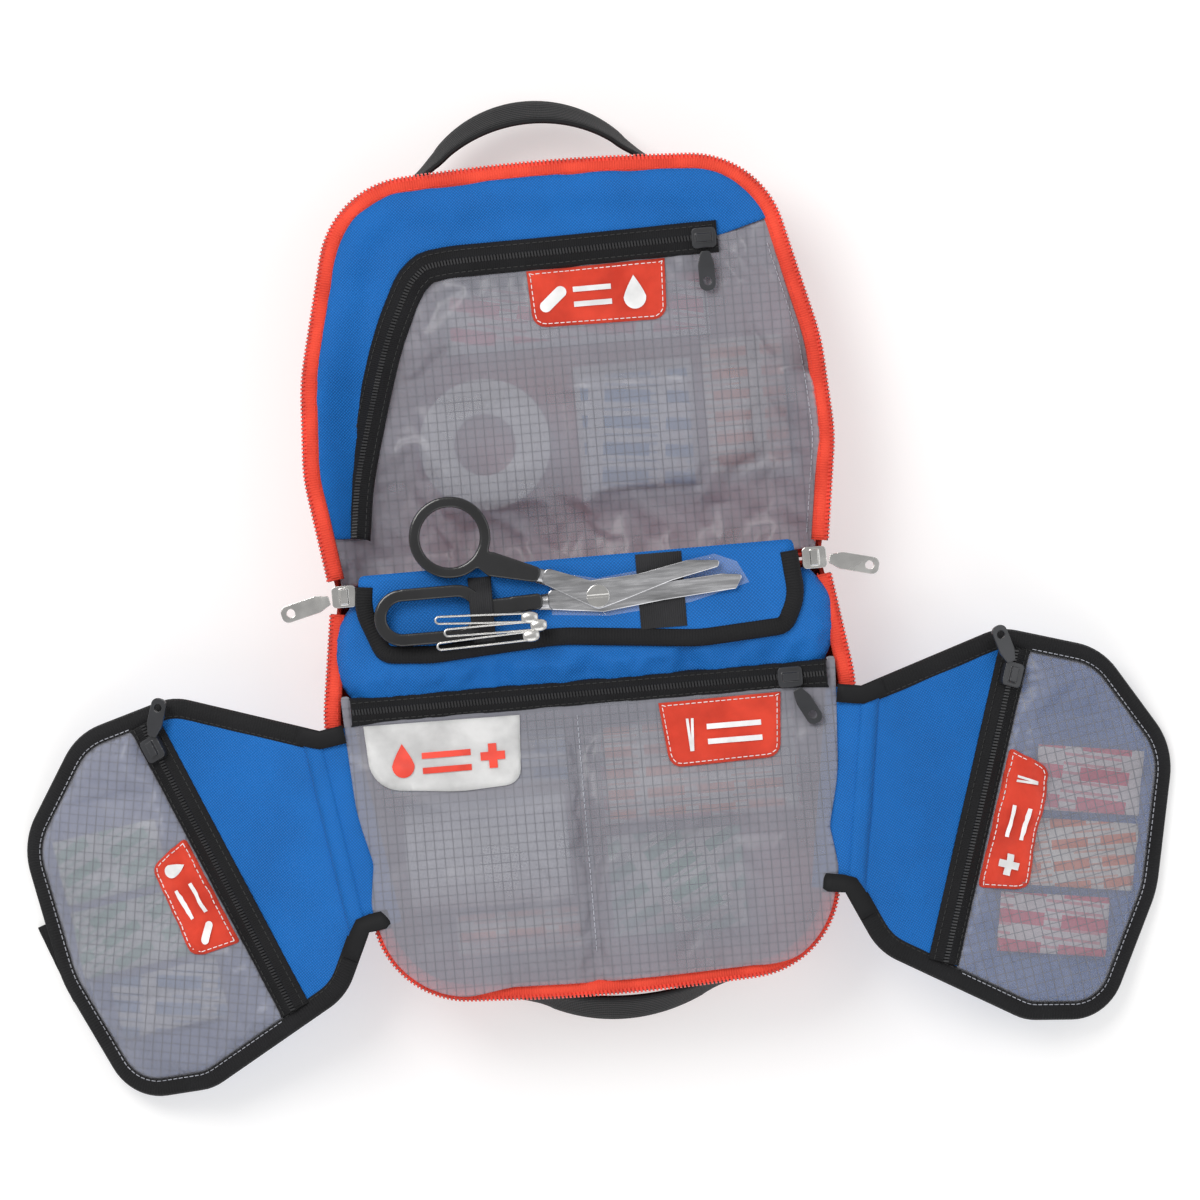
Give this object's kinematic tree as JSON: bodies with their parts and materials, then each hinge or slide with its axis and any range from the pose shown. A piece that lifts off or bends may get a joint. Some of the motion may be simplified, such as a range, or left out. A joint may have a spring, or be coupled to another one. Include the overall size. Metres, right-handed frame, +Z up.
{
  "type": "first aid kit",
  "caption": "Soft two-shell first aid pouch lying open, with zip pockets, fold-out side wings, a tool flap with shears and webbing handles.",
  "frame": {"origin": "centre of the base shell's flat back panel, on the surface it lies on", "axes": "+Z up, away from that surface; +X to the right along the fold line; +Y from the base shell towards the lid"},
  "size_m": [0.4272, 0.3555, 0.0597],
  "materials": {
    "shell_cloth": "woven nylon with foam",
    "zip_red": "zip tape and coil",
    "blue_cloth": "woven pack cloth",
    "ripstop": "translucent ripstop",
    "zip_black": "zip tape and coil",
    "binding_tape": "grosgrain",
    "label_red": "printed satin",
    "label_white": "printed satin",
    "nickel": "nickel plated",
    "slider_dark": "satin",
    "blade_steel": "brushed",
    "handle_plastic": "glossy",
    "dressing_white": "cotton",
    "packet_print": "printed sachets"
  },
  "bodies": {
    "base": {"base_shell": "shell_cloth", "fold_cloth": "blue_cloth", "base_rim_zip": "zip_red", "pouch_top_panel": "blue_cloth", "pouch_window": "ripstop", "pouch_zip": "zip_black", "pouch_labels": "label_white", "pouch_divider": "ripstop", "trauma_dressing": "dressing_white", "bandage_pack": "packet_print", "instrument_pack": "packet_print", "base_handle_patches": "binding_tape", "left_wing_neck": "blue_cloth", "right_wing_neck": "blue_cloth", "main_slider_left": "nickel", "main_slider_right": "nickel"},
    "lid": {"lid_shell": "shell_cloth", "lid_rim_zip": "zip_red", "lid_pocket_window": "ripstop", "lid_lining": "blue_cloth", "lid_pocket_zip": "zip_black", "lid_label": "label_red", "tape_roll": "dressing_white", "gauze_pads": "dressing_white", "wound_dressing": "packet_print", "lid_handle_patches": "binding_tape"},
    "tool_flap": {"flap_panel": "blue_cloth", "flap_binding": "binding_tape", "tool_loops": "binding_tape", "shears_lower_blade": "blade_steel", "shears_lower_handle": "handle_plastic", "shears_screw": "blade_steel", "safety_pins": "nickel"},
    "shears_half": {"shears_upper_blade": "blade_steel", "shears_upper_handle": "handle_plastic"},
    "lid_handle": {"lid_handle": "binding_tape"},
    "base_handle": {"base_handle": "binding_tape"},
    "lid_pocket_slider": {"lid_pocket_slider": "slider_dark"},
    "lid_pocket_pull": {"lid_pocket_pull": "slider_dark"},
    "pouch_slider": {"pouch_slider": "slider_dark"},
    "pouch_pull": {"pouch_pull": "slider_dark"},
    "main_pull_left": {"main_pull_left": "nickel"},
    "main_pull_right": {"main_pull_right": "nickel"},
    "left_wing": {"left_wing_panel": "blue_cloth", "left_wing_binding": "binding_tape", "left_wing_zip": "zip_black", "left_wing_window": "ripstop", "left_wing_label": "label_red", "left_wing_contents": "packet_print", "left_wing_tab": "binding_tape"},
    "left_wing_slider": {"left_wing_slider": "slider_dark"},
    "left_wing_pull": {"left_wing_pull": "slider_dark"},
    "right_wing": {"right_wing_panel": "blue_cloth", "right_wing_binding": "binding_tape", "right_wing_zip": "zip_black", "right_wing_window": "ripstop", "right_wing_label": "label_red", "right_wing_contents": "packet_print"},
    "right_wing_slider": {"right_wing_slider": "slider_dark"},
    "right_wing_pull": {"right_wing_pull": "slider_dark"}
  },
  "joints": [
    {"name": "lid_fold", "type": "hinge", "parent": "base", "child": "lid", "pos_m": [0, 0.075, 0.046], "axis": [1, 0, 0], "range_deg": [0, 180]},
    {"name": "tool_flap_hang", "type": "hinge", "parent": "lid", "child": "tool_flap", "pos_m": [0, 0.0955, 0.0451], "axis": [1, 0, 0], "range_deg": [-180, 0]},
    {"name": "shears_open", "type": "hinge", "parent": "tool_flap", "child": "shears_half", "pos_m": [0.0063, 0.0675, 0.0509], "axis": [0, 0, 1], "range_deg": [-30, 0]},
    {"name": "left_wing_fold", "type": "hinge", "parent": "base", "child": "left_wing", "pos_m": [-0.095, -0.005, 0.046], "axis": [0.1547, -0.988, 0], "range_deg": [-168, 0]},
    {"name": "right_wing_fold", "type": "hinge", "parent": "base", "child": "right_wing", "pos_m": [0.095, -0.005, 0.046], "axis": [0.1547, 0.988, 0], "range_deg": [-152, 0]},
    {"name": "lid_handle_swing", "type": "hinge", "parent": "lid", "child": "lid_handle", "pos_m": [-0.005, 0.228, 0.022], "axis": [1, 0, 0], "range_deg": [-25, 35]},
    {"name": "base_handle_swing", "type": "hinge", "parent": "base", "child": "base_handle", "pos_m": [0.005, -0.078, 0.022], "axis": [-1, 0, 0], "range_deg": [-25, 35]},
    {"name": "lid_pocket_zip_slide", "type": "slide", "parent": "lid", "child": "lid_pocket_slider", "axis": [-1, 0, 0], "range_m": [0, 0.088]},
    {"name": "lid_pocket_pull_swing", "type": "hinge", "parent": "lid_pocket_slider", "child": "lid_pocket_pull", "pos_m": [0.056, 0.1938, 0.0441], "axis": [1, 0, 0], "range_deg": [-140, 0]},
    {"name": "pouch_zip_slide", "type": "slide", "parent": "base", "child": "pouch_slider", "axis": [-1, 0, 0], "range_m": [0, 0.136]},
    {"name": "pouch_pull_swing", "type": "hinge", "parent": "pouch_slider", "child": "pouch_pull", "pos_m": [0.0744, 0.0305, 0.0487], "axis": [0.8829, 0.4695, 0], "range_deg": [-140, 0]},
    {"name": "main_pull_left_swing", "type": "hinge", "parent": "base", "child": "main_pull_left", "pos_m": [-0.0885, 0.075, 0.0491], "axis": [0.2419, -0.9703, 0], "range_deg": [-110, 0]},
    {"name": "main_pull_right_swing", "type": "hinge", "parent": "base", "child": "main_pull_right", "pos_m": [0.0885, 0.075, 0.0491], "axis": [0.2419, 0.9703, 0], "range_deg": [-110, 0]},
    {"name": "left_wing_zip_slide", "type": "slide", "parent": "left_wing", "child": "left_wing_slider", "axis": [0.3945, -0.9142, 0.0929], "range_m": [0, 0.1]},
    {"name": "left_wing_pull_swing", "type": "hinge", "parent": "left_wing_slider", "child": "left_wing_pull", "pos_m": [-0.16277, 0.02649, 0.02983], "axis": [-0.8897, 0.3359, -0.3092], "range_deg": [-140, 0]},
    {"name": "right_wing_zip_slide", "type": "slide", "parent": "right_wing", "child": "right_wing_slider", "axis": [-0.3033, -0.9512, 0.057], "range_m": [0, 0.1]},
    {"name": "right_wing_pull_swing", "type": "hinge", "parent": "right_wing_slider", "child": "right_wing_pull", "pos_m": [0.15693, 0.02741, 0.03204], "axis": [-0.8897, -0.3359, 0.3092], "range_deg": [-140, 0]}
  ],
  "couplings": [
    {"joint": "tool_flap_hang", "follows": "lid_fold", "ratio": -1}
  ]
}
